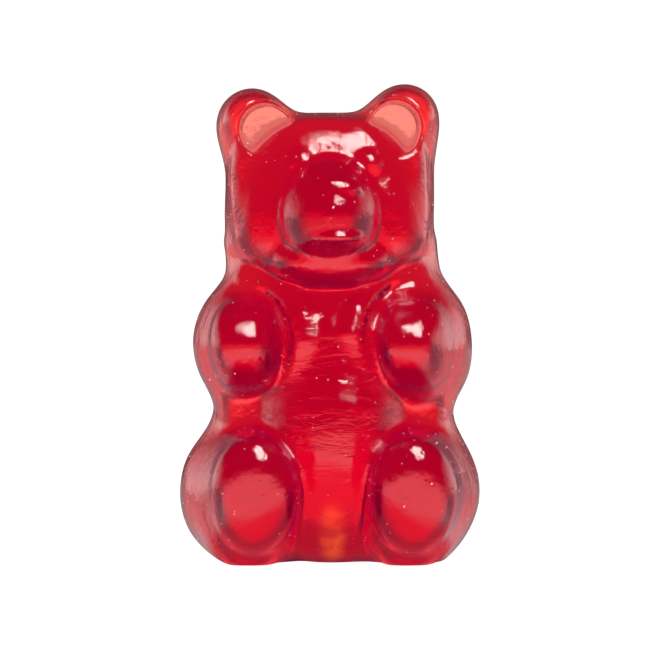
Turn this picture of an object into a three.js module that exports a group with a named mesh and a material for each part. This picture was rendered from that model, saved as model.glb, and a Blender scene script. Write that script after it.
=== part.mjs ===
// A moulded gummy bear, one solid piece of jelly sweet, sitting upright.
//
// Millimetres. +X is the bear's left-hand side as seen from the front, -Y is the way
// the face looks, +Z is up. The origin is under the middle of the piece, on the surface
// that it stands on.
//
// The sweet is cast face down in a starch mould: its back is flat, its side walls lean
// in towards the front, and every form on the front is a low rounded relief. The solid
// is therefore one smooth field, a blend of drafted slabs and domes, that is negative
// inside the jelly. The field's zero surface is meshed on a grid and then thinned.
import * as THREE from 'three';

// ---------------------------------------------------------------- driving dimensions
const DEPTH_CENTRE = 4.885;   // half of the overall depth: places the box over the origin
const WIDTH_CENTRE = 0.055;   // the outline is a little lopsided

const BACK_EDGE = 0.35;       // edge rounding where the walls meet the flat back
const BASE_EDGE = 0.15;       // edge rounding where the body meets the flat base
const RIM = 0.4;              // depth at which the outline sizes below are taken

// head slab: centre (x, z), half sizes, outline power, draft, depth, edge rounding
const HEAD = { c: [0.03, 17.31], a: 4.80, h: 3.29, n: 3.57, draft: 0.13, depth: 4.6, edge: 1.2 };
// ears: discs with a hollow let into each
const EARS = [{ c: [-3.53, 20.22], r: 1.57 }, { c: [3.47, 20.35], r: 1.63 }];
const EAR = { draft: 0.17, depth: 4.1, edge: 1.6 };
const EAR_HOLLOWS = [{ c: [-2.82, 19.86], r: [1.16, 1.10] }, { c: [2.98, 19.90], r: [1.12, 1.16] }];
const HOLLOW = { floor: 1.35, draft: 0.06, corner: 0.25, edge: 0.3 };
// face dome: broad and low over the brow, tucked in under the chin
const FACE = { c: [0.07, 14.95], a: 4.25, up: 5.15, down: 2.45, n: 2.9, m: 2.05, nd: 2.1,
               level: 3.7, rise: 2.55, draft: 0.10, ref: 5.0, tuck: 0.32 };
const SNOUT = { c: [0.06, 15.80], a: 2.22, up: 2.66, down: 2.50, n: 2.05, nd: 2.0,
                level: 5.9, rise: 3.05, draft: 0.15, ref: 6.4, q: 2.15 };
const CHIN = { c: [0.06, 13.72, 4.5], r: [2.75, 1.30, 2.95] };
const NOSE = { c: [0.29, 17.03, 7.7], r: [1.15, 0.62, 0.95] };
const LIP = { c: [0.30, 14.82, 7.60], r: [1.25, 0.46, 1.42] };
const EYES = [[-1.29, 18.23, 5.28], [1.79, 18.19, 5.28]];
const EYE = [0.62, 0.62, 0.60];
// trunk slab, belly and chest domes
const TRUNK = { c: [0.205, 7.93], a: 5.50, h: 7.72, n: 3.1, draft: 0.15, depth: 4.6, edge: 1.6 };
const BELLY = { c: [0.20, 6.24], a: 3.9, up: 6.9, down: 6.2, n: 2.2, level: 1.5, rise: 6.15 };
const CHEST = { c: [0.20, 10.30], a: 3.2, up: 2.70, down: 5.0, n: 2.3, level: 3.4, rise: 3.74 };
// arms: a drafted disc at each shoulder with the paw standing on it
const ARMS = [
  { c: [-3.644, 10.03], a: 2.562, h: 3.19, paw: [-3.62, 9.98], pr: [1.80, 2.15] },
  { c: [3.63, 9.94], a: 2.95, h: 3.55, paw: [3.92, 9.98], pr: [1.80, 2.15] },
];
const ARM = { level: 3.4, rise: 2.9, draft: 0.17, q: 2.6 };
const PAW = { n: 3.0, m: 2.0, level: 5.0, rise: 3.5, draft: 0.05, ref: 5.2 };
const PAW_LEAN = 0.10, PAW_BLEND = 0.45;
// ridges that run from the shoulders down the chest, points [x, depth, z]
const RIDGES = [
  { r: 0.66, pts: [[-3.45, 3.85, 12.86], [-2.32, 4.62, 12.56], [-1.63, 5.56, 11.96], [-1.18, 6.44, 11.14],
                   [-1.02, 6.62, 10.22], [-1.26, 6.20, 9.08], [-1.80, 5.50, 8.30]] },
  { r: 0.50, pts: [[3.60, 3.90, 13.05], [2.50, 4.58, 12.85], [1.75, 5.40, 12.25], [1.25, 6.50, 11.45],
                   [1.05, 6.80, 10.50], [1.20, 6.50, 9.40], [1.75, 5.90, 8.50]] },
];
// legs: a drafted thigh disc with the foot standing forward, its sole leaning down
const LEGS = [
  { c: [-3.62, 3.176], a: 3.24, up: 3.488, down: 3.32, foot: [-3.36, 3.30], fr: [2.20, 2.86, 3.02] },
  { c: [3.58, 3.315], a: 3.32, up: 3.585, down: 3.46, foot: [3.82, 3.30], fr: [2.20, 2.86, 3.02] },
];
const LEG = { level: 5.5, rise: 2.0, draft: 0.17, under: -0.045, q: 3.0 };
const FOOT = { draft: 0.12, under: 0.13, mid: 6.0, sole: 9.6, lean: 0.17, edge: 2.0, blend: 0.45 };
// fillets between the forms: [at the front, extra at the rim]
const JOIN = { neck: [0.45, 1.45], ear: [0.45, 0.95], arm: [0.40, 0.15], leg: [0.45, 0.60],
               face: 0.4, belly: 0.9, chest: 0.7, ridge: 0.35, chin: 0.5, snout: 0.35, nose: 0.30, lip: 0.25, eye: 0.40 };

// meshing: spacing of the first grid, and the number of triangles it is thinned to
const STEP = 0.27;
const TRIANGLES = 8600;

// ---------------------------------------------------------------- field primitives
const P = 2.6;                                    // roundness of the blends
const both = (a, b, r) => {                       // smooth intersection
  const u = Math.max(a + r, 0), v = Math.max(b + r, 0);
  return Math.min(Math.max(a, b), -r) + (u ** P + v ** P) ** (1 / P);
};
const join = (a, b, r) => -both(-a, -b, r);       // smooth union

const ellipse = (x, z, c, a, b) => {
  const u = (x - c[0]) / a, w = (z - c[1]) / b;
  const k0 = Math.hypot(u, w), k1 = Math.hypot(u / a, w / b);
  return k0 * (k0 - 1) / Math.max(k1, 1e-6);
};
const ellipsoid = (x, z, d, c, r) => {
  const u = (x - c[0]) / r[0], w = (z - c[1]) / r[1], q = (d - c[2]) / r[2];
  const k0 = Math.hypot(u, w, q), k1 = Math.hypot(u / r[0], w / r[1], q / r[2]);
  return k0 * (k0 - 1) / Math.max(k1, 1e-6);
};
const superEllipse = (x, z, c, a, b, n) => {
  const u = Math.abs(x - c[0]) / a, w = Math.abs(z - c[1]) / b;
  const k = Math.max((u ** n + w ** n) ** (1 / n), 1e-3);
  const g = k ** (1 - n) * Math.hypot(u ** (n - 1) / a, w ** (n - 1) / b);
  return (k - 1) / Math.max(g, 0.05);
};
const ramp = (a, b, t) => { t = Math.min(Math.max((t - a) / (b - a), 0), 1); return t * t * (3 - 2 * t); };
// the side walls curve inwards from the back edge: offset at depth d for draft k
const slant = (k, d) => k * (d - RIM) * (0.30 + 0.70 * Math.min(Math.max(d - RIM, 0), 6) / 4.2);
// superelliptic column, drafted, straight up to `level` and domed by `rise` above it;
// n is the power across, m the power along the height, nd the power at the bottom
const dome = (x, z, d, s) => {
  const ref = s.ref ?? RIM, q = s.q ?? 2;
  const off = ref === RIM ? slant(s.draft ?? 0, d) : (s.draft ?? 0) * (d - ref);
  const above = z > s.c[1];
  const a = Math.max(s.a - off, 0.3);
  const under = s.under === undefined ? off : s.under * (d - ref);
  const h = Math.max(above ? s.up - off : s.down - under - (s.tuck ?? 0) * Math.max(ref - d, 0), 0.3);
  const u = Math.abs(x - s.c[0]) / a, w = Math.abs(z - s.c[1]) / h;
  const n = above || s.nd === undefined ? s.n : s.n + (s.nd - s.n) * ramp(0, 0.55, w);
  const m = s.m ?? n, p = m;
  const rho = Math.max(u ** n + w ** m, 1e-12) ** (1 / p);
  const gr = Math.hypot(n / p * u ** (n - 1) / a, m / p * w ** (m - 1) / h) * rho ** (1 - p);
  const t = Math.max(d - s.level, 0) / s.rise;
  const k = Math.max((rho ** q + t ** q) ** (1 / q), 1e-4);
  const g = k ** (1 - q) * Math.hypot(rho ** (q - 1) * gr, t ** (q - 1) / s.rise);
  return (k - 1) / Math.max(g, 0.08);
};
// rounded bead along a chain of points
const stroke = (x, z, d, { pts, r }) => {
  let best = Infinity;
  for (let i = 0; i + 1 < pts.length; i++) {
    const p = pts[i], v = pts[i + 1].map((c, m) => c - p[m]), e = [x - p[0], d - p[1], z - p[2]];
    const t = Math.min(Math.max((e[0] * v[0] + e[1] * v[1] + e[2] * v[2]) / (v[0] ** 2 + v[1] ** 2 + v[2] ** 2), 0), 1);
    best = Math.min(best, Math.hypot(...e.map((c, m) => c - t * v[m])));
  }
  return best - r;
};

// ---------------------------------------------------------------- the bear
// x across, d forward from the flat back, z up
const bear = (x, d, z) => {
  x += 0.03 * Math.sin(1.3 * z + 0.9 * d + 0.4);              // slight unevenness of the casting
  const rim = 1 - ramp(0.8, 4.5, d);
  const fillet = (k) => k[0] + k[1] * rim;
  const drafted = (s) => slant(s.draft, d);

  let f = both(superEllipse(x, z, HEAD.c, HEAD.a, HEAD.h, HEAD.n) + drafted(HEAD), d - HEAD.depth, HEAD.edge);
  for (const e of EARS)
    f = join(f, both(ellipse(x, z, e.c, e.r, e.r) + drafted(EAR), d - EAR.depth, EAR.edge), fillet(JOIN.ear));
  for (const h of EAR_HOLLOWS) {
    const wall = ellipse(x, z, h.c, h.r[0], h.r[1]) - HOLLOW.draft * (d - HOLLOW.floor);
    f = both(f, -both(wall, HOLLOW.floor - d, HOLLOW.corner), HOLLOW.edge);
  }
  f = join(f, dome(x, z, d, FACE), JOIN.face);

  const trunk = both(superEllipse(x, z, TRUNK.c, TRUNK.a, TRUNK.h, TRUNK.n) + drafted(TRUNK), d - TRUNK.depth, TRUNK.edge);
  f = join(f, trunk, fillet(JOIN.neck));
  f = join(f, dome(x, z, d, BELLY), JOIN.belly);
  f = join(f, dome(x, z, d, CHEST), JOIN.chest);
  for (const m of ARMS) {
    const shoulder = dome(x, z, d, { ...ARM, c: m.c, a: m.a, up: m.h, down: m.h, n: 2 });
    const paw = dome(x + PAW_LEAN * (d - PAW.ref), z, d, { ...PAW, c: m.paw, a: m.pr[0], up: m.pr[1], down: m.pr[1] });
    f = join(f, join(shoulder, paw, PAW_BLEND), fillet(JOIN.arm));
  }
  for (const m of LEGS) {
    const thigh = dome(x, z, d, { ...LEG, c: m.c, a: m.a, up: m.up, down: m.down, n: 2 });
    const lean = FOOT.draft * (d - FOOT.mid), under = FOOT.under * (d - FOOT.mid);
    const wall = ellipse(x, z, m.foot, m.fr[0] - lean, z > m.foot[1] ? m.fr[1] - lean : m.fr[2] - under);
    const sole = (d - FOOT.sole - FOOT.lean * (z - m.foot[1])) / Math.hypot(1, FOOT.lean);
    f = join(f, join(thigh, both(wall, sole, FOOT.edge), FOOT.blend), fillet(JOIN.leg));
  }
  for (const w of RIDGES) f = join(f, stroke(x, z, d, w), JOIN.ridge);
  f = join(f, ellipsoid(x, z, d, CHIN.c, CHIN.r), JOIN.chin);
  f = join(f, dome(x, z, d, SNOUT), JOIN.snout);
  f = join(f, ellipsoid(x, z, d, NOSE.c, NOSE.r), JOIN.nose);
  f = join(f, ellipsoid(x, z, d, LIP.c, LIP.r), JOIN.lip);
  for (const e of EYES) f = join(f, ellipsoid(x, z, d, e, EYE), JOIN.eye);
  f = both(f, -d, BACK_EDGE);
  return both(f, -z, BASE_EDGE);
};

// ---------------------------------------------------------------- meshing
const lines = (from, to) => Array.from({ length: Math.ceil((to - from) / STEP) + 1 }, (_, i) => from + i * STEP);
const XS = lines(-7.6, 7.8), DS = lines(-0.4, 10.4), ZS = lines(-0.4, 22.6);

// surface nets: one vertex for each grid cell that the surface crosses, one quad for
// each grid edge that it crosses
const mesh = () => {
  const nx = XS.length, ny = DS.length, nz = ZS.length;
  const at = (i, j, k) => (i * ny + j) * nz + k;
  const val = new Float64Array(nx * ny * nz);
  for (let i = 0; i < nx; i++) for (let j = 0; j < ny; j++) for (let k = 0; k < nz; k++)
    val[at(i, j, k)] = bear(XS[i], DS[j], ZS[k]);
  // where two sheets meet inside one cell, close the gap so that the surface stays a
  // simple skin: a cell's inside corners, and its outside ones, must each hang together,
  // and no face of the cell may be inside at two opposite corners only
  const corner = [...Array(8).keys()].map((c) => [c & 1, (c >> 1) & 1, (c >> 2) & 1]);
  const together = (mask) => {
    const all = [...Array(8).keys()].filter((c) => (mask >> c) & 1);
    const seen = new Set(all.slice(0, 1)), todo = [...seen];
    while (todo.length) {
      const c = todo.pop();
      for (const b of [1, 2, 4]) if (((mask >> (c ^ b)) & 1) && !seen.has(c ^ b)) { seen.add(c ^ b); todo.push(c ^ b); }
    }
    return seen.size === all.length;
  };
  const crossed = (m) => [[0, 1, 3, 2], [4, 5, 7, 6], [0, 1, 5, 4], [2, 3, 7, 6], [0, 2, 6, 4], [1, 3, 7, 5]]
    .some(([a, b, c, d]) => { const on = [a, b, c, d].map((n) => (m >> n) & 1); return on[0] === on[2] && on[1] === on[3] && on[0] !== on[1]; });
  const simple = [...Array(256).keys()].map((m) => together(m) && together(255 ^ m) && !crossed(m));
  for (let pass = 0, left = 1; left && pass < 20; pass++) {
    left = 0;
    for (let i = 0; i < nx - 1; i++) for (let j = 0; j < ny - 1; j++) for (let k = 0; k < nz - 1; k++) {
      let m = 0, best = -1;
      corner.forEach(([a, b, c], n) => {
        const w = at(i + a, j + b, k + c);
        if (val[w] < 0) m |= 1 << n;
        else if (best < 0 || val[w] < val[best]) best = w;
      });
      if (!simple[m]) { val[best] = -2e-3; left++; }
    }
  }
  const id = new Int32Array(nx * ny * nz).fill(-1);
  const pts = [];
  for (let i = 0; i < nx - 1; i++) for (let j = 0; j < ny - 1; j++) for (let k = 0; k < nz - 1; k++) {
    let n = 0; const s = [0, 0, 0];
    for (let e = 0; e < 12; e++) {
      const ax = e >> 2, b = e & 1, c = (e >> 1) & 1;
      const o = ax === 0 ? [0, b, c] : ax === 1 ? [b, 0, c] : [b, c, 0];
      const p = [i + o[0], j + o[1], k + o[2]], q = [...p]; q[ax]++;
      const va = val[at(...p)], vb = val[at(...q)];
      if ((va < 0) === (vb < 0)) continue;
      const t = va / (va - vb), A = [XS[p[0]], DS[p[1]], ZS[p[2]]], B = [XS[q[0]], DS[q[1]], ZS[q[2]]];
      for (let m = 0; m < 3; m++) s[m] += A[m] + (B[m] - A[m]) * t;
      n++;
    }
    if (n) { id[at(i, j, k)] = pts.length; pts.push([s[0] / n, s[1] / n, s[2] / n]); }
  }
  const quads = [];
  for (let ax = 0; ax < 3; ax++) {
    const o = [0, 1, 2].filter((m) => m !== ax), size = [nx, ny, nz];
    for (let i = 0; i < nx; i++) for (let j = 0; j < ny; j++) for (let k = 0; k < nz; k++) {
      const p = [i, j, k];
      if (p[ax] >= size[ax] - 1 || p[o[0]] < 1 || p[o[1]] < 1) continue;
      const q = [...p]; q[ax]++;
      const inA = val[at(...p)] < 0, inB = val[at(...q)] < 0;
      if (inA === inB) continue;
      const cell = (a, b) => { const c = [...p]; c[o[0]] -= a; c[o[1]] -= b; return id[at(...c)]; };
      const f = [cell(1, 1), cell(0, 1), cell(0, 0), cell(1, 0)];
      quads.push((ax === 1 ? !inA : inA) ? f : f.reverse());
    }
  }
  return { pts, quads };
};

// thin a closed triangle mesh by collapsing edges, the one that bends the surface least
// first (quadric error), and never where a collapse would fold or pinch the skin
const thin = (P0, T0, target) => {
  const pos = P0.map((p) => [...p]), tri = T0.map((t) => [...t]), alive = tri.map(() => true);
  const fan = pos.map(() => new Set());
  tri.forEach((t, i) => t.forEach((v) => fan[v].add(i)));
  const normal = (a, b, c) => {
    const u = [b[0] - a[0], b[1] - a[1], b[2] - a[2]], v = [c[0] - a[0], c[1] - a[1], c[2] - a[2]];
    return [u[1] * v[2] - u[2] * v[1], u[2] * v[0] - u[0] * v[2], u[0] * v[1] - u[1] * v[0]];
  };
  const Q = pos.map(() => new Float64Array(10));
  for (const t of tri) {
    const n = normal(...t.map((v) => pos[v])), l = Math.hypot(...n) || 1e-12, A = l / 2;
    const [x, y, z] = n.map((c) => c / l), w = -(x * pos[t[0]][0] + y * pos[t[0]][1] + z * pos[t[0]][2]);
    [x * x, x * y, x * z, x * w, y * y, y * z, y * w, z * z, z * w, w * w].forEach((c, i) => { for (const v of t) Q[v][i] += A * c; });
  }
  const error = (q, [x, y, z]) => q[0] * x * x + 2 * q[1] * x * y + 2 * q[2] * x * z + 2 * q[3] * x + q[4] * y * y
    + 2 * q[5] * y * z + 2 * q[6] * y + q[7] * z * z + 2 * q[8] * z + q[9];
  const plan = (a, b) => {
    const q = Q[a].map((c, i) => c + Q[b][i]), A = pos[a], B = pos[b];
    const mid = [(A[0] + B[0]) / 2, (A[1] + B[1]) / 2, (A[2] + B[2]) / 2];
    const e = 1e-4, m00 = q[0] + e, m11 = q[4] + e, m22 = q[7] + e;           // pulled weakly to the middle
    const r = [-q[3] + e * mid[0], -q[6] + e * mid[1], -q[8] + e * mid[2]];
    const c00 = m11 * m22 - q[5] ** 2, c01 = q[2] * q[5] - q[1] * m22, c02 = q[1] * q[5] - q[2] * m11;
    const det = m00 * c00 + q[1] * c01 + q[2] * c02;
    let p = mid;
    if (Math.abs(det) > 1e-14) {
      const c11 = m00 * m22 - q[2] ** 2, c12 = q[1] * q[2] - m00 * q[5], c22 = m00 * m11 - q[1] ** 2;
      const s = [(c00 * r[0] + c01 * r[1] + c02 * r[2]) / det, (c01 * r[0] + c11 * r[1] + c12 * r[2]) / det,
        (c02 * r[0] + c12 * r[1] + c22 * r[2]) / det];
      if (Math.hypot(s[0] - mid[0], s[1] - mid[1], s[2] - mid[2]) < STEP) p = s;
    }
    const long = (A[0] - B[0]) ** 2 + (A[1] - B[1]) ** 2 + (A[2] - B[2]) ** 2;
    return { a, b, p, cost: Math.max(error(q, p), 0) + 2e-5 * long ** 1.5 };
  };
  const heap = [];
  const push = (n) => {
    let i = heap.push(n) - 1;
    while (i && heap[(i - 1) >> 1].cost > n.cost) { heap[i] = heap[(i - 1) >> 1]; i = (i - 1) >> 1; }
    heap[i] = n;
  };
  const pop = () => {
    const top = heap[0], n = heap.pop(); let i = 0;
    for (let c; heap.length && (c = 2 * i + 1) < heap.length; i = c) {
      if (c + 1 < heap.length && heap[c + 1].cost < heap[c].cost) c++;
      if (heap[c].cost >= n.cost) break;
      heap[i] = heap[c];
    }
    if (heap.length) heap[i] = n;
    return top;
  };
  const stamp = new Int32Array(pos.length);
  const around = (v) => { const s = new Set(); for (const t of fan[v]) for (const w of tri[t]) if (w !== v) s.add(w); return s; };
  const offer = (a, b) => push({ ...plan(a, b), sa: stamp[a], sb: stamp[b] });
  pos.forEach((_, v) => { for (const w of around(v)) if (w > v) offer(v, w); });
  let left = tri.length;
  while (left > target && heap.length) {
    const { a, b, p, sa, sb } = pop();
    if (sa !== stamp[a] || sb !== stamp[b]) continue;
    const na = around(a), nb = around(b);
    if ([...na].filter((v) => nb.has(v)).length !== 2) continue;
    const ok = [[a, b], [b, a]].every(([v, other]) => [...fan[v]].every((t) => {
      if (tri[t].includes(other)) return true;
      const before = normal(...tri[t].map((w) => pos[w])), after = normal(...tri[t].map((w) => (w === v ? p : pos[w])));
      const lb = Math.hypot(...before), la = Math.hypot(...after);
      return la > 1e-6 && before[0] * after[0] + before[1] * after[1] + before[2] * after[2] > 0.5 * la * lb;
    }));
    if (!ok) continue;
    pos[a] = p;
    Q[b].forEach((c, i) => { Q[a][i] += c; });
    for (const t of [...fan[b]]) {
      if (tri[t].includes(a)) { for (const v of tri[t]) fan[v].delete(t); alive[t] = false; left--; }
      else { tri[t] = tri[t].map((v) => (v === b ? a : v)); fan[a].add(t); }
    }
    stamp[b] = -1;
    stamp[a]++;
    for (const v of around(a)) offer(a, v);
  }
  const name = new Map(), outP = [], outT = [];
  tri.forEach((t, i) => {
    if (alive[i]) outT.push(t.map((v) => { if (!name.has(v)) { name.set(v, outP.length); outP.push(pos[v]); } return name.get(v); }));
  });
  return [outP, outT];
};

const net = mesh();

const dist = (a, b) => Math.hypot(a[0] - b[0], a[1] - b[1], a[2] - b[2]);
// split each quad along its shorter diagonal, but never along a line already in use
const key = (i, j) => Math.min(i, j) * net.pts.length + Math.max(i, j);
const used = new Set(net.quads.flatMap((q) => q.map((v, i) => key(v, q[(i + 1) % 4]))));
const halves = net.quads.flatMap(([a, b, c, d]) => {
  const free = [!used.has(key(a, c)), !used.has(key(b, d))];
  const first = free[0] && (!free[1] || dist(net.pts[a], net.pts[c]) <= dist(net.pts[b], net.pts[d]));
  used.add(first ? key(a, c) : key(b, d));
  return first ? [[a, b, c], [a, c, d]] : [[a, b, d], [b, c, d]];
});
const [pts, triangles] = thin(net.pts, halves, TRIANGLES);
// the back and the base are true planes
for (const p of pts) {
  if (Math.abs(p[1]) < 2e-3) p[1] = 0;
  if (Math.abs(p[2]) < 2e-3) p[2] = 0;
}

// ---------------------------------------------------------------- solid
const positions = new Float32Array(pts.length * 3);
pts.forEach((p, i) => {
  positions[3 * i] = p[0] - WIDTH_CENTRE;
  positions[3 * i + 1] = DEPTH_CENTRE - p[1];
  positions[3 * i + 2] = p[2];
});
// depth runs opposite to +Y, so the faces are turned over
const index = triangles.flatMap(([a, b, c]) => [a, c, b]);
const geometry = new THREE.BufferGeometry();
geometry.setAttribute('position', new THREE.BufferAttribute(positions, 3));
geometry.setIndex(index);
geometry.computeVertexNormals();

const jelly = new THREE.MeshStandardMaterial({ color: 0xb80d24, roughness: 0.12, metalness: 0 });
const bearMesh = new THREE.Mesh(geometry, jelly);
bearMesh.name = 'gummy_bear';

const model = new THREE.Group();
model.name = 'gummy_bear_model';
model.add(bearMesh);
export default model;
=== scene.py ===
import math
import bpy
import numpy as np
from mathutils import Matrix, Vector


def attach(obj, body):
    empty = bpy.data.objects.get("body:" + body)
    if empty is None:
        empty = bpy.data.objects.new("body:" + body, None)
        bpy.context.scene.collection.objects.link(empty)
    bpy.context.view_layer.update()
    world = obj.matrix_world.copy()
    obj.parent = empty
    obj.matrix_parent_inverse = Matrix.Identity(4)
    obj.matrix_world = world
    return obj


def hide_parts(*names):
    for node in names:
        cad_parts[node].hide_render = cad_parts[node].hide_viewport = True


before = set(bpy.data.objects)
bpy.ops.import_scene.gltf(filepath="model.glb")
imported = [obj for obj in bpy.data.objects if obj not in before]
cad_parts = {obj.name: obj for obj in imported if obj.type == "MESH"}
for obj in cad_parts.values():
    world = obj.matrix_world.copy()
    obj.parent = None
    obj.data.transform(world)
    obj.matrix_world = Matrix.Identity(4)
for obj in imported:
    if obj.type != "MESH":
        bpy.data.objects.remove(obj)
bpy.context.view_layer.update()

# ------------------------------------------------------------------ driving dimensions, mm
# the same sizes as the CAD model; x across, d forward from the flat back, z up
DEPTH_CENTRE = 4.885
WIDTH_CENTRE = 0.055
BACK_EDGE = 0.35
BASE_EDGE = 0.15
RIM = 0.4
HEAD = dict(c=(0.03, 17.31), a=4.80, h=3.29, n=3.57, draft=0.13, depth=4.6, edge=1.2)
EARS = [dict(c=(-3.53, 20.22), r=1.57), dict(c=(3.47, 20.35), r=1.63)]
EAR = dict(draft=0.17, depth=4.1, edge=1.6)
EAR_HOLLOWS = [dict(c=(-2.82, 19.86), r=(1.16, 1.10)), dict(c=(2.98, 19.90), r=(1.12, 1.16))]
HOLLOW = dict(floor=1.35, draft=0.06, corner=0.25, edge=0.3)
FACE = dict(c=(0.07, 14.95), a=4.25, up=5.15, down=2.45, n=2.9, m=2.05, nd=2.1,
            level=3.7, rise=2.55, draft=0.10, ref=5.0, tuck=0.32)
SNOUT = dict(c=(0.06, 15.80), a=2.22, up=2.66, down=2.50, n=2.05, nd=2.0, level=5.9, rise=3.05, draft=0.15, ref=6.4, q=2.15)
CHIN = dict(c=(0.06, 13.80, 4.5), r=(2.85, 1.38, 3.15))
NOSE = dict(c=(0.29, 17.03, 7.7), r=(1.15, 0.62, 0.95))
LIP = dict(c=(0.30, 14.86, 7.60), r=(1.30, 0.44, 1.36))
EYES = [(-1.29, 18.23, 5.28), (1.79, 18.19, 5.28)]
EYE = (0.62, 0.62, 0.60)
TRUNK = dict(c=(0.205, 7.93), a=5.50, h=7.72, n=3.1, draft=0.15, depth=4.6, edge=1.6)
BELLY = dict(c=(0.20, 6.24), a=3.9, up=6.9, down=6.2, n=2.2, level=1.5, rise=6.15)
CHEST = dict(c=(0.20, 10.30), a=3.2, up=2.70, down=5.0, n=2.3, level=3.4, rise=3.74)
ARMS = [dict(c=(-3.644, 10.03), a=2.562, h=3.19, paw=(-3.62, 9.98), pr=(1.80, 2.15)),
        dict(c=(3.63, 9.94), a=2.95, h=3.55, paw=(3.92, 9.98), pr=(1.80, 2.15))]
ARM = dict(level=3.4, rise=2.9, draft=0.17, q=2.6)
PAW = dict(level=5.0, rise=3.5, n=3.0, m=2.0, draft=0.05, ref=5.2, lean=0.10, blend=0.45)
LEGS = [dict(c=(-3.62, 3.176), a=3.24, up=3.488, down=3.32, foot=(-3.36, 3.30), fr=(2.20, 2.86, 3.02)),
        dict(c=(3.58, 3.315), a=3.32, up=3.585, down=3.46, foot=(3.82, 3.30), fr=(2.20, 2.86, 3.02))]
LEG = dict(level=5.5, rise=2.0, draft=0.17, under=-0.045, q=3.0)
FOOT = dict(draft=0.12, under=0.13, mid=6.0, sole=9.6, lean=0.17, edge=2.0, blend=0.45)
JOIN = dict(neck=(0.45, 1.45), ear=(0.45, 0.95), arm=(0.40, 0.15), leg=(0.45, 0.60),
            face=0.4, belly=0.9, chest=0.7, snout=0.35, chin=0.5, ridge=0.35, nose=0.30, lip=0.25, eye=0.40)
# ridges that run from the shoulders down the chest, points (x, d, z)
RIDGES = [dict(r=0.66, pts=[(-3.45, 3.85, 12.86), (-2.32, 4.62, 12.56), (-1.63, 5.56, 11.96), (-1.18, 6.44, 11.14),
                            (-1.02, 6.62, 10.22), (-1.26, 6.20, 9.08), (-1.80, 5.50, 8.30)]),
          dict(r=0.50, pts=[(3.60, 3.90, 13.05), (2.50, 4.58, 12.85), (1.75, 5.40, 12.25), (1.25, 6.50, 11.45),
                            (1.05, 6.80, 10.50), (1.20, 6.50, 9.40), (1.75, 5.90, 8.50)])]
STEP = 0.114              # spacing of the meshing grid
POWER = 2.6               # roundness of the blends


# ------------------------------------------------------------------ field primitives
def both(a, b, r):
    u = np.maximum(a + r, 0.0); v = np.maximum(b + r, 0.0)
    return np.minimum(np.maximum(a, b), -r) + (u ** POWER + v ** POWER) ** (1.0 / POWER)


def join(a, b, r):
    return -both(-a, -b, r)


def slant(k, d):                                        # side walls curve inwards from the back edge
    t = d - RIM
    return k * t * (0.30 + 0.70 * np.clip(t, 0, 6.0) / 4.2)


def ellipse(x, z, c, a, b):
    u = (x - c[0]) / a; w = (z - c[1]) / b
    k0 = np.sqrt(u * u + w * w); k1 = np.sqrt((u / a) ** 2 + (w / b) ** 2)
    return k0 * (k0 - 1.0) / np.maximum(k1, 1e-6)


def ellipsoid(x, z, d, c, r):
    u = (x - c[0]) / r[0]; w = (z - c[1]) / r[1]; q = (d - c[2]) / r[2]
    k0 = np.sqrt(u * u + w * w + q * q)
    k1 = np.sqrt((u / r[0]) ** 2 + (w / r[1]) ** 2 + (q / r[2]) ** 2)
    return k0 * (k0 - 1.0) / np.maximum(k1, 1e-6)


def super_ellipse(x, z, c, a, b, n):
    u = np.abs(x - c[0]) / a; w = np.abs(z - c[1]) / b
    k = np.maximum((u ** n + w ** n) ** (1.0 / n), 1e-3)
    g = k ** (1 - n) * np.sqrt((u ** (n - 1) / a) ** 2 + (w ** (n - 1) / b) ** 2)
    return (k - 1.0) / np.maximum(g, 0.05)


def dome(x, z, d, c, a, up, down, n, level, rise, m=None, nd=None, draft=0.0, under=None, q=2.0, ref=RIM, tuck=0.0):
    off = slant(draft, d) if ref == RIM else draft * (d - ref)
    below = off if under is None else under * (d - ref)
    above = z > c[1]
    A = np.maximum(a - off, 0.3)
    H = np.maximum(np.where(above, up - off, down - below - tuck * np.maximum(ref - d, 0)), 0.3)
    u = np.abs(x - c[0]) / A; w = np.abs(z - c[1]) / H
    if nd is not None:                                  # the exponent drifts to nd on the way down
        n = np.where(above, n, n + (nd - n) * ramp(0, 0.55, w))
    p = n if m is None else m
    m = n if m is None else m                           # exponent along the height
    rho = np.maximum(u ** n + w ** m, 1e-12) ** (1.0 / p)
    gr = np.sqrt((n / p * u ** (n - 1) / A) ** 2 + (m / p * w ** (m - 1) / H) ** 2) * rho ** (1 - p)
    t = np.maximum(d - level, 0.0) / rise
    k = np.maximum((rho ** q + t ** q) ** (1.0 / q), 1e-4)
    g = k ** (1 - q) * np.sqrt((rho ** (q - 1) * gr) ** 2 + (t ** (q - 1) / rise) ** 2)
    return (k - 1.0) / np.maximum(g, 0.08)


def stroke(x, z, d, pts, r):
    best = None
    for p, q in zip(pts, pts[1:]):
        v = [q[i] - p[i] for i in range(3)]
        e = (x - p[0], d - p[1], z - p[2])
        t = np.clip((e[0] * v[0] + e[1] * v[1] + e[2] * v[2]) / sum(k * k for k in v), 0, 1)
        s = (e[0] - t * v[0]) ** 2 + (e[1] - t * v[1]) ** 2 + (e[2] - t * v[2]) ** 2
        best = s if best is None else np.minimum(best, s)
    return np.sqrt(best) - r


def ramp(a, b, t):
    t = np.clip((t - a) / (b - a), 0, 1)
    return t * t * (3 - 2 * t)


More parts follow.
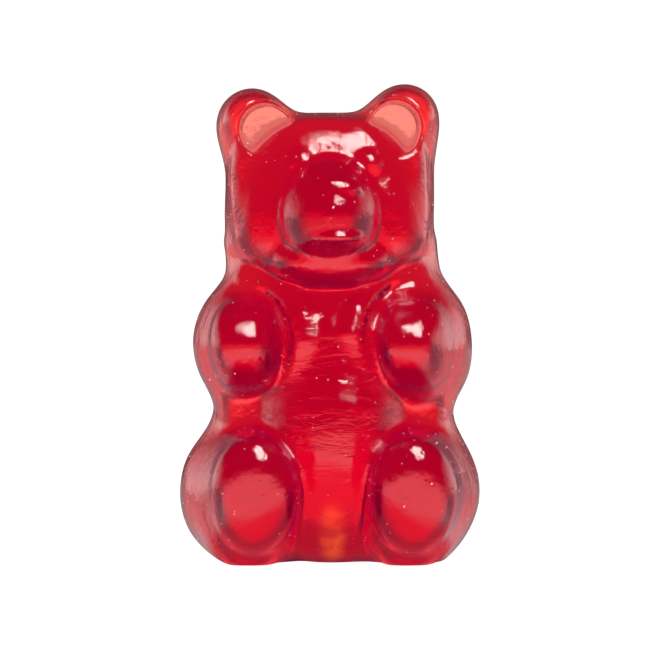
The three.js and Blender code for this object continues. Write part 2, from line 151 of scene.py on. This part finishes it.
def bear(x, d, z):
    x = x + 0.03 * np.sin(1.3 * z + 0.9 * d + 0.4)
    rim = 1 - ramp(0.8, 4.5, d)
    fillet = lambda k: k[0] + k[1] * rim
    drafted = lambda s: slant(s["draft"], d)
    f = both(super_ellipse(x, z, HEAD["c"], HEAD["a"], HEAD["h"], HEAD["n"]) + drafted(HEAD), d - HEAD["depth"], HEAD["edge"])
    for e in EARS:
        f = join(f, both(ellipse(x, z, e["c"], e["r"], e["r"]) + drafted(EAR), d - EAR["depth"], EAR["edge"]), fillet(JOIN["ear"]))
    for h in EAR_HOLLOWS:
        g = ellipse(x, z, h["c"], *h["r"]) - HOLLOW["draft"] * (d - HOLLOW["floor"])
        f = both(f, -both(g, HOLLOW["floor"] - d, HOLLOW["corner"]), HOLLOW["edge"])
    f = join(f, dome(x, z, d, **FACE), JOIN["face"])
    trunk = both(super_ellipse(x, z, TRUNK["c"], TRUNK["a"], TRUNK["h"], TRUNK["n"]) + drafted(TRUNK), d - TRUNK["depth"], TRUNK["edge"])
    f = join(f, trunk, fillet(JOIN["neck"]))
    f = join(f, dome(x, z, d, **BELLY), JOIN["belly"])
    f = join(f, dome(x, z, d, **CHEST), JOIN["chest"])
    for m in ARMS:
        shoulder = dome(x, z, d, m["c"], m["a"], m["h"], m["h"], 2.0, **ARM)
        paw = dome(x + PAW["lean"] * (d - PAW["ref"]), z, d, m["paw"], m["pr"][0], m["pr"][1], m["pr"][1], PAW["n"], PAW["level"],
                   PAW["rise"], m=PAW["m"], draft=PAW["draft"], ref=PAW["ref"])
        f = join(f, join(shoulder, paw, PAW["blend"]), fillet(JOIN["arm"]))
    for m in LEGS:
        thigh = dome(x, z, d, m["c"], m["a"], m["up"], m["down"], 2.0, **LEG)
        lean = FOOT["draft"] * (d - FOOT["mid"]); under = FOOT["under"] * (d - FOOT["mid"])
        wall = ellipse(x, z, m["foot"], m["fr"][0] - lean, np.where(z > m["foot"][1], m["fr"][1] - lean, m["fr"][2] - under))
        sole = (d - FOOT["sole"] - FOOT["lean"] * (z - m["foot"][1])) / math.hypot(1, FOOT["lean"])
        f = join(f, join(thigh, both(wall, sole, FOOT["edge"]), FOOT["blend"]), fillet(JOIN["leg"]))
    for w in RIDGES:
        f = join(f, stroke(x, z, d, w["pts"], w["r"]), JOIN["ridge"])
    f = join(f, ellipsoid(x, z, d, CHIN["c"], CHIN["r"]), JOIN["chin"])
    f = join(f, dome(x, z, d, **SNOUT), JOIN["snout"])
    f = join(f, ellipsoid(x, z, d, NOSE["c"], NOSE["r"]), JOIN["nose"])
    f = join(f, ellipsoid(x, z, d, LIP["c"], LIP["r"]), JOIN["lip"])
    for e in EYES:
        f = join(f, ellipsoid(x, z, d, e, EYE), JOIN["eye"])
    f = both(f, -d, BACK_EDGE)
    return both(f, -z, BASE_EDGE)


# ------------------------------------------------------------------ meshing
def surface_nets(F, lo, hi, h):
    n = [4 * int(math.ceil((hi[i] - lo[i]) / h / 4)) + 1 for i in range(3)]
    ax = [lo[i] + h * np.arange(n[i]) for i in range(3)]
    # a coarse pass finds the blocks near the surface; only those are sampled finely
    C = F(*np.meshgrid(*[a[::4] for a in ax], indexing="ij"))
    V = np.repeat(np.repeat(np.repeat(C, 4, 0), 4, 1), 4, 2)[: n[0], : n[1], : n[2]].copy()
    near = np.abs(C) < 7.5 * h
    m = np.zeros(V.shape, bool)
    for i, j, k in np.argwhere(near):
        m[max(4 * i - 4, 0):4 * i + 5, max(4 * j - 4, 0):4 * j + 5, max(4 * k - 4, 0):4 * k + 5] = True
    I, J, K = np.nonzero(m)
    V[I, J, K] = F(ax[0][I], ax[1][J], ax[2][K])
    s = V < 0
    c = np.zeros([t - 1 for t in n], np.int8)
    for i in (0, 1):
        for j in (0, 1):
            for k in (0, 1):
                c += s[i:n[0] - 1 + i, j:n[1] - 1 + j, k:n[2] - 1 + k]
    act = (c > 0) & (c < 8)
    idx = -np.ones(act.shape, np.int64); idx[act] = np.arange(act.sum())
    I, J, K = np.nonzero(act)
    acc = np.zeros((len(I), 3)); cnt = np.zeros(len(I))
    corners = [(i, j, k) for i in (0, 1) for j in (0, 1) for k in (0, 1)]
    for a in range(8):
        for b in range(a + 1, 8):
            ca, cb = corners[a], corners[b]
            if sum(abs(ca[t] - cb[t]) for t in range(3)) != 1:
                continue
            va = V[I + ca[0], J + ca[1], K + ca[2]]; vb = V[I + cb[0], J + cb[1], K + cb[2]]
            on = (va < 0) != (vb < 0)
            t = np.where(on, va / np.where(on, va - vb, 1), 0)
            p = np.stack([ca[q] + (cb[q] - ca[q]) * t for q in range(3)], 1)
            acc[on] += p[on]; cnt[on] += 1
    v = np.array(lo) + (np.stack([I, J, K], 1) + acc / cnt[:, None]) * h
    quads = []
    for a in range(3):
        o = [q for q in range(3) if q != a]
        s0 = [slice(None)] * 3; s1 = [slice(None)] * 3
        s0[a] = slice(0, -1); s1[a] = slice(1, None)
        A = s[tuple(s0)]
        e = np.argwhere(A != s[tuple(s1)])
        inside = A[e[:, 0], e[:, 1], e[:, 2]]

        def cell(i, j):
            q = e.copy(); q[:, o[0]] -= i; q[:, o[1]] -= j
            return idx[q[:, 0], q[:, 1], q[:, 2]]
        q = np.stack([cell(1, 1), cell(0, 1), cell(0, 0), cell(1, 0)], 1)
        flip = inside if a != 1 else ~inside
        q[~flip] = q[~flip][:, ::-1]
        quads.append(q)
    return v, np.concatenate(quads)


def slope(F, v, e=1e-3):
    g = np.zeros_like(v)
    for t in np.array([[1, -1, -1], [-1, -1, 1], [-1, 1, -1], [1, 1, 1]], float):
        w = v + e * t
        g += t * F(w[:, 0], w[:, 1], w[:, 2])[:, None]
    return g / (4 * e)


def settle(F, v, rounds=2, cap=0.05):
    for _ in range(rounds):
        f = F(v[:, 0], v[:, 1], v[:, 2]); g = slope(F, v)
        st = (f / np.maximum((g * g).sum(1), 0.05))[:, None] * g
        v = v - st * np.minimum(1, cap / np.maximum(np.linalg.norm(st, axis=1, keepdims=True), 1e-9))
    return v


verts, quads = surface_nets(bear, (-7.6, -0.4, -0.4), (7.8, 10.4, 22.6), STEP)
verts = settle(bear, verts)
verts[np.abs(verts[:, 1]) < 2e-3, 1] = 0.0
verts[np.abs(verts[:, 2]) < 2e-3, 2] = 0.0
co = np.stack([verts[:, 0] - WIDTH_CENTRE, DEPTH_CENTRE - verts[:, 1], verts[:, 2]], 1) * 0.001
faces = quads[:, ::-1]

me = bpy.data.meshes.new("jelly_bear")
me.vertices.add(len(co)); me.vertices.foreach_set("co", co.ravel())
me.loops.add(faces.size); me.loops.foreach_set("vertex_index", faces.ravel().astype(np.int32))
me.polygons.add(len(faces))
me.polygons.foreach_set("loop_start", np.arange(0, faces.size, 4, dtype=np.int32))
me.update(calc_edges=True); me.validate()
me.polygons.foreach_set("use_smooth", np.ones(len(me.polygons), bool))
jelly = bpy.data.objects.new("jelly_bear", me)
bpy.context.scene.collection.objects.link(jelly)
print("jelly_bear", len(me.vertices), "vertices", len(me.polygons), "quads")

# ------------------------------------------------------------------ jelly
mat = bpy.data.materials.new("red_jelly"); mat.use_nodes = True
nt = mat.node_tree; N = nt.nodes; L = nt.links
bsdf = N["Principled BSDF"]; out = N["Material Output"]
bsdf.inputs["Base Color"].default_value = (1, 1, 1, 1)
bsdf.inputs["IOR"].default_value = 1.49
bsdf.inputs["Transmission Weight"].default_value = 1.0
bsdf.inputs["Emission Strength"].default_value = 1.0
absorb = N.new("ShaderNodeVolumeAbsorption")
SIGMA = (0.066, 1.06, 1.32)                  # absorption for each mm
absorb.inputs["Density"].default_value = SIGMA[2] * 1000
absorb.inputs["Color"].default_value = (1 - SIGMA[0] / SIGMA[2], 1 - SIGMA[1] / SIGMA[2], 0, 1)
L.new(absorb.outputs["Volume"], out.inputs["Volume"])
tex = N.new("ShaderNodeTexCoord")


def noise(scale, detail, rough=0.5, distort=0.0):
    n = N.new("ShaderNodeTexNoise")
    n.inputs["Scale"].default_value = scale; n.inputs["Detail"].default_value = detail
    n.inputs["Roughness"].default_value = rough; n.inputs["Distortion"].default_value = distort
    L.new(tex.outputs["Object"], n.inputs["Vector"])
    return n


def bump(height, depth, under=None):
    b = N.new("ShaderNodeBump"); b.inputs["Strength"].default_value = 1.0
    b.inputs["Distance"].default_value = depth
    L.new(height, b.inputs["Height"])
    if under is not None:
        L.new(under, b.inputs["Normal"])
    return b.outputs["Normal"]


def remap(value, a, b, lo, hi):
    m = N.new("ShaderNodeMapRange"); m.interpolation_type = "SMOOTHSTEP"
    m.inputs["From Min"].default_value = a; m.inputs["From Max"].default_value = b
    m.inputs["To Min"].default_value = lo; m.inputs["To Max"].default_value = hi
    L.new(value, m.inputs["Value"]); return m.outputs["Result"]


def times(a, b):
    m = N.new("ShaderNodeMath"); m.operation = "MULTIPLY"; L.new(a, m.inputs[0]); L.new(b, m.inputs[1])
    return m.outputs[0]


waves = noise(900, 2, 0.5)                                   # uneven skin from the mould
grain = noise(4200, 3, 0.65)                                 # fine grain
pits = N.new("ShaderNodeTexVoronoi"); pits.inputs["Scale"].default_value = 1700
L.new(tex.outputs["Object"], pits.inputs["Vector"])
pock = remap(pits.outputs["Distance"], 0.06, 0.22, 0.0, 1.0)
stretch = N.new("ShaderNodeMapping"); stretch.inputs["Scale"].default_value = (0.45, 0.45, 1.6)
stretch.inputs["Rotation"].default_value = (0.0, 0.25, 0.0)
L.new(tex.outputs["Object"], stretch.inputs["Vector"])
fold = noise(1500, 3, 0.6, 0.6); L.new(stretch.outputs["Vector"], fold.inputs["Vector"])
place = N.new("ShaderNodeSeparateXYZ"); L.new(tex.outputs["Object"], place.inputs[0])
torso = times(remap(place.outputs["Z"], 0.0020, 0.0050, 0.0, 1.0), remap(place.outputs["Z"], 0.0110, 0.0130, 1.0, 0.0))
middle = N.new("ShaderNodeMath"); middle.operation = "ABSOLUTE"; L.new(place.outputs["X"], middle.inputs[0])
torso = times(torso, remap(middle.outputs[0], 0.0020, 0.0034, 1.0, 0.0))
normal = bump(grain.outputs["Fac"], 0.000020)
normal = bump(pock, 0.000010, normal)
normal = bump(waves.outputs["Fac"], 0.00006, normal)
normal = bump(times(fold.outputs["Fac"], torso), 0.00006, normal)
L.new(normal, bsdf.inputs["Normal"])
painted_warm_spot = N.new("ShaderNodeMapping")                            # painted warm glow: an emitted patch standing in for light gathered low between the legs
painted_warm_spot.inputs["Location"].default_value = (-0.20, 0.0, -0.78); painted_warm_spot.inputs["Scale"].default_value = (1500, 260, 560)
L.new(tex.outputs["Object"], painted_warm_spot.inputs["Vector"])
reach = N.new("ShaderNodeVectorMath"); reach.operation = "LENGTH"; L.new(painted_warm_spot.outputs["Vector"], reach.inputs[0])
# painted glow: a faint red-blue emission over the whole jelly, rising to a warm orange emitted patch between the legs
painted_glow = N.new("ShaderNodeMix"); painted_glow.data_type = "RGBA"
L.new(times(remap(reach.outputs["Value"], 0.15, 1.25, 1.0, 0.0), remap(waves.outputs["Fac"], 0.36, 0.64, 0.25, 1.0)), painted_glow.inputs[0])
painted_glow.inputs[6].default_value = (0.030, 0.0, 0.018, 1); painted_glow.inputs[7].default_value = (0.44, 0.075, 0.022, 1)
L.new(painted_glow.outputs[2], bsdf.inputs["Emission Color"])
rr = N.new("ShaderNodeMapRange"); rr.inputs["To Min"].default_value = 0.015; rr.inputs["To Max"].default_value = 0.07
L.new(noise(700, 3).outputs["Fac"], rr.inputs["Value"]); L.new(rr.outputs["Result"], bsdf.inputs["Roughness"])
me.materials.append(mat)
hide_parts("gummy_bear")
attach(jelly, "root")

# ------------------------------------------------------------------ specks
# tiny pale grains caught on the skin
rng = np.random.default_rng(7)
normals = -slope(bear, verts); normals /= np.maximum(np.linalg.norm(normals, axis=1, keepdims=True), 1e-9)
normals = np.stack([-normals[:, 0], normals[:, 1], -normals[:, 2]], 1)           # outwards, in the CAD frame
free = np.flatnonzero((co[:, 1] < 0.0044) & (co[:, 2] > 0.0006))
pick_at = rng.choice(free, 340, replace=False)
ico_v = np.array([(0, 0, 1), (1, 0, 0), (0, 1, 0), (-1, 0, 0), (0, -1, 0), (0, 0, -1)], float)
ico_f = [(0, 1, 2), (0, 2, 3), (0, 3, 4), (0, 4, 1), (5, 2, 1), (5, 3, 2), (5, 4, 3), (5, 1, 4)]
sv, sf = [], []
for i in pick_at:
    r = 1e-6 * rng.uniform(20, 42) * (1.6 if rng.random() < 0.06 else 1.0)
    spin = np.linalg.qr(rng.normal(size=(3, 3)))[0]
    if np.linalg.det(spin) < 0:
        spin[:, 0] *= -1
    k = len(sv)
    sv.extend((co[i] - normals[i] * 0.2 * r + r * (ico_v * rng.uniform(0.7, 1.2, (6, 1))) @ spin.T).tolist())
    sf.extend([tuple(k + q for q in f) for f in ico_f])
sm = bpy.data.meshes.new("skin_specks"); sm.from_pydata(sv, [], sf); sm.update()
specks = bpy.data.objects.new("skin_specks", sm); bpy.context.scene.collection.objects.link(specks)
grit = bpy.data.materials.new("pale_grit"); grit.use_nodes = True
G = grit.node_tree; gb = G.nodes["Principled BSDF"]
gt = G.nodes.new("ShaderNodeTexCoord"); gn = G.nodes.new("ShaderNodeTexNoise"); gn.inputs["Scale"].default_value = 900
G.links.new(gt.outputs["Object"], gn.inputs["Vector"])
gr = G.nodes.new("ShaderNodeValToRGB")
gr.color_ramp.elements[0].position = 0.35; gr.color_ramp.elements[0].color = (0.80, 0.40, 0.38, 1)
gr.color_ramp.elements[1].position = 0.62; gr.color_ramp.elements[1].color = (0.92, 0.80, 0.78, 1)
G.links.new(gn.outputs["Fac"], gr.inputs["Fac"]); G.links.new(gr.outputs["Color"], gb.inputs["Base Color"])
gb.inputs["Roughness"].default_value = 0.55
sm.materials.append(grit)
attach(specks, "root")

# ------------------------------------------------------------------ stage
S = 4.0
fm = bpy.data.meshes.new("floor"); fm.from_pydata([(-S, -S, 0), (S, -S, 0), (S, S, 0), (-S, S, 0)], [], [(0, 1, 2, 3)])
floor = bpy.data.objects.new("floor", fm); bpy.context.scene.collection.objects.link(floor)
pale = bpy.data.materials.new("pale_floor"); pale.use_nodes = True
pb = pale.node_tree.nodes["Principled BSDF"]
pb.inputs["Base Color"].default_value = (0.16, 0.16, 0.16, 1); pb.inputs["Roughness"].default_value = 1.0
pb.inputs["Emission Color"].default_value = (1, 1, 1, 1)
pb.inputs["Specular IOR Level"].default_value = 0.0
PN = pale.node_tree


def pnode(kind, **inputs):
    n = PN.nodes.new(kind)
    for k, v in inputs.items():
        if isinstance(v, (int, float)):
            n.inputs[int(k[1:])].default_value = v
        else:
            PN.links.new(v, n.inputs[int(k[1:])])
    return n


def pmath(op, a, b):
    n = pnode("ShaderNodeMath", i0=a, i1=b); n.operation = op
    return n.outputs[0]


def pmap(src, a, b, lo, hi):
    n = pnode("ShaderNodeMapRange", i0=src, i1=a, i2=b, i3=lo, i4=hi); n.interpolation_type = "SMOOTHSTEP"
    return n.outputs["Result"]


# painted light on the floor: for reflection rays its emission is brightest in front of and close to the bear, for
# transmission rays brighter behind it; camera rays see it evenly white
ps = pnode("ShaderNodeSeparateXYZ", i0=pnode("ShaderNodeTexCoord").outputs["Object"])
far = pmath("SQRT", pmath("ADD", pmath("MULTIPLY", ps.outputs["X"], ps.outputs["X"]), pmath("MULTIPLY", ps.outputs["Y"], ps.outputs["Y"])), 0.0)
aim = pmath("DIVIDE", ps.outputs["Y"], pmath("MAXIMUM", far, 0.004))       # 1 behind the bear, -1 in front
painted_floor_through = pmath("ADD", pmap(aim, 0.05, 0.50, 0.0, 0.38), pmap(aim, -0.30, 0.10, 0.30, 0.22))
painted_floor_mirror = pmath("MULTIPLY", pmap(aim, -0.30, 0.25, 1.25, 0.0), pmap(far, 0.018, 0.055, 1.0, 0.08))
painted_floor_mirror = pmath("ADD", painted_floor_mirror, pmath("MULTIPLY", pmap(aim, -0.10, 0.25, 0.0, 0.34), pmap(aim, 0.75, 0.95, 1.0, 0.2)))
lpf = PN.nodes.new("ShaderNodeLightPath")
pick = pmath("ADD", pmath("MULTIPLY", painted_floor_mirror, lpf.outputs["Is Reflection Ray"]),
             pmath("MULTIPLY", painted_floor_through, lpf.outputs["Is Transmission Ray"]))
pick = pmath("ADD", pick, pmath("MULTIPLY", lpf.outputs["Is Diffuse Ray"], 0.8))
PN.links.new(pmath("MAXIMUM", pick, lpf.outputs["Is Camera Ray"]), pb.inputs["Emission Strength"])
painted_red_pool = pmath("MAXIMUM", pmap(far, 0.0070, 0.0105, 0.0, 1.0), lpf.outputs["Is Camera Ray"])     # painted red light: the floor's emission turns red close to the bear for all but camera rays, standing in for light tinted by the jelly
painted_floor_tint = PN.nodes.new("ShaderNodeMix"); painted_floor_tint.data_type = "RGBA"
PN.links.new(painted_red_pool, painted_floor_tint.inputs[0]); painted_floor_tint.inputs[6].default_value = (1.0, 0.10, 0.10, 1); painted_floor_tint.inputs[7].default_value = (1, 1, 1, 1)
PN.links.new(painted_floor_tint.outputs[2], pb.inputs["Emission Color"])
fm.materials.append(pale)

# surroundings: a white backdrop behind and to the back corners, darkness over the camera
world = bpy.data.worlds.new("studio"); bpy.context.scene.world = world; world.use_nodes = True
W = world.node_tree; WN = W.nodes; WL = W.links
bg = WN["Background"]; bg.inputs["Color"].default_value = (1, 0.96, 0.925, 1)
wt = WN.new("ShaderNodeTexCoord"); ws = WN.new("ShaderNodeSeparateXYZ"); WL.new(wt.outputs["Generated"], ws.inputs[0])
lp = WN.new("ShaderNodeLightPath")


def wmap(src, a, b, lo, hi):
    m = WN.new("ShaderNodeMapRange"); m.interpolation_type = "SMOOTHSTEP"
    m.inputs["From Min"].default_value = a; m.inputs["From Max"].default_value = b
    m.inputs["To Min"].default_value = lo; m.inputs["To Max"].default_value = hi
    WL.new(src, m.inputs["Value"]); return m.outputs["Result"]


def wop(op, a, b):
    m = WN.new("ShaderNodeMath"); m.operation = op
    for i, v in enumerate((a, b)):
        if isinstance(v, (int, float)):
            m.inputs[i].default_value = v
        else:
            WL.new(v, m.inputs[i])
    return m.outputs[0]


# what passes through the jelly: bright straight behind, dimmer to the wings
through = wop("ADD", wmap(ws.outputs["Y"], 0.83, 0.965, 0.0, 1.04), wmap(ws.outputs["Y"], -0.10, 0.25, 0.0, 0.22))
through = wop("ADD", through, wmap(ws.outputs["Y"], 0.08, 0.30, 0.0, 0.84))
through = wop("SUBTRACT", through, wmap(ws.outputs["Y"], 0.60, 0.78, 0.0, 0.84))
above = wop("MULTIPLY", wmap(ws.outputs["Z"], 0.15, 0.48, 0.0, 0.55), wmap(ws.outputs["Y"], 0.20, 0.50, 0.0, 1.0))
through = wop("MAXIMUM", through, above)
through = wop("MULTIPLY", through, wmap(ws.outputs["Z"], 0.62, 0.92, 1.0, 0.05))
# what its outer skin reflects
mirror = wop("ADD", wmap(ws.outputs["Y"], 0.0, 0.60, 0.0, 1.15), wmap(ws.outputs["Y"], 0.86, 0.975, 0.0, -1.08))
mirror = wop("MULTIPLY", mirror, wmap(ws.outputs["Z"], 0.08, 0.40, 1.0, 0.0))
refl = lp.outputs["Is Reflection Ray"]
env = wop("ADD", wop("MULTIPLY", through, wop("SUBTRACT", 1.0, refl)), wop("MULTIPLY", mirror, refl))
env = wop("ADD", env, 0.008)
env = wop("MAXIMUM", env, wmap(ws.outputs["Z"], -0.10, 0.0, 0.8, 0.0))
sel = wop("MAXIMUM", lp.outputs["Is Diffuse Ray"], lp.outputs["Is Camera Ray"])
WL.new(wop("MAXIMUM", wop("MULTIPLY", sel, 1.15), wop("MULTIPLY", env, wop("SUBTRACT", 1.0, sel))), bg.inputs["Strength"])


def direction(az, el):
    a, e = math.radians(az), math.radians(el)
    return Vector((math.sin(a) * math.cos(e), -math.cos(a) * math.cos(e), math.sin(e)))


def softbox(name, az, el, w, h, lum, dist=0.6, roll=0.0):
    l = bpy.data.lights.new(name, "AREA"); l.shape = "RECTANGLE"
    l.size = w; l.size_y = h; l.energy = lum * math.pi * w * h; l.color = (1.0, 0.97, 0.93)
    o = bpy.data.objects.new(name, l); bpy.context.scene.collection.objects.link(o)
    p = Vector((0, 0, 0.012)) + direction(az, el) * dist
    o.location = p
    o.rotation_euler = (Vector((0, 0, 0.012)) - p).to_track_quat("-Z", "Y").to_euler()
    o.visible_diffuse = False; o.visible_camera = False; o.visible_transmission = False
    return o


softbox("softbox_top_right", 37, 58, 0.34, 0.56, 17)

# ------------------------------------------------------------------ camera
cam = bpy.data.cameras.new("camera"); cam.lens = 475; cam.sensor_width = 36
cam.clip_start = 0.01; cam.clip_end = 20
eye = bpy.data.objects.new("camera", cam); bpy.context.scene.collection.objects.link(eye)
eye.location = (-0.000161 - WIDTH_CENTRE * 0.001, DEPTH_CENTRE * 0.001 - 0.395, 0.0109)
eye.rotation_euler = (math.pi / 2, 0, 0)
bpy.context.scene.camera = eye

scene = bpy.context.scene
scene.view_settings.view_transform = "Standard"
scene.cycles.use_denoising = True
scene.cycles.max_bounces = 24
scene.cycles.transmission_bounces = 20
scene.cycles.glossy_bounces = 8
scene.cycles.caustics_refractive = True
scene.cycles.caustics_reflective = True
